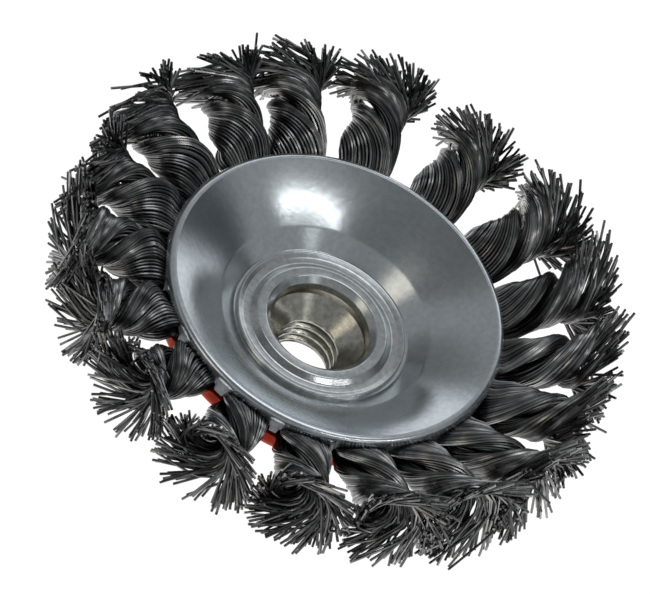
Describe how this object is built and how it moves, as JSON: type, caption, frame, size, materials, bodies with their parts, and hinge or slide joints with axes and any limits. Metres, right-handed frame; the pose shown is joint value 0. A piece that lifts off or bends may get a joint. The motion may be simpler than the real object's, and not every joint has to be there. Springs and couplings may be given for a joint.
{
  "type": "knotted wire bevel brush",
  "caption": "Conical twist-knot wire brush with a threaded steel hub, two dished plates and a forward-leaning ring of twisted wire knots, for an angle grinder.",
  "frame": {"origin": "on the spindle axis, at the hub nut's rear face, which seats on the grinder's spindle", "axes": "+Z along the spindle axis, out of the working face; +X through the middle of the first knot"},
  "size_m": [0.115, 0.115, 0.0319],
  "materials": {
    "hub_nut": "zinc-plated machined steel with a faint yellow tint",
    "front_plate": "zinc-plated pressed sheet, satin with a fine spangle",
    "back_plate": "orange-red enamel, semi-gloss",
    "knot_disc": "plain punched sheet steel",
    "wire": "dark, oiled carbon-steel wire with bright highlights"
  },
  "bodies": {
    "root": {"hub_nut": "hub_nut", "front_plate": "front_plate", "back_plate": "back_plate", "knot_disc": "knot_disc", "wire_knot_01": "wire", "wire_knot_02": "wire", "wire_knot_03": "wire", "wire_knot_04": "wire", "wire_knot_05": "wire", "wire_knot_06": "wire", "wire_knot_07": "wire", "wire_knot_08": "wire", "wire_knot_09": "wire", "wire_knot_10": "wire", "wire_knot_11": "wire", "wire_knot_12": "wire", "wire_knot_13": "wire", "wire_knot_14": "wire", "wire_knot_15": "wire", "wire_knot_16": "wire", "wire_knot_17": "wire", "wire_knot_18": "wire"}
  },
  "joints": []
}
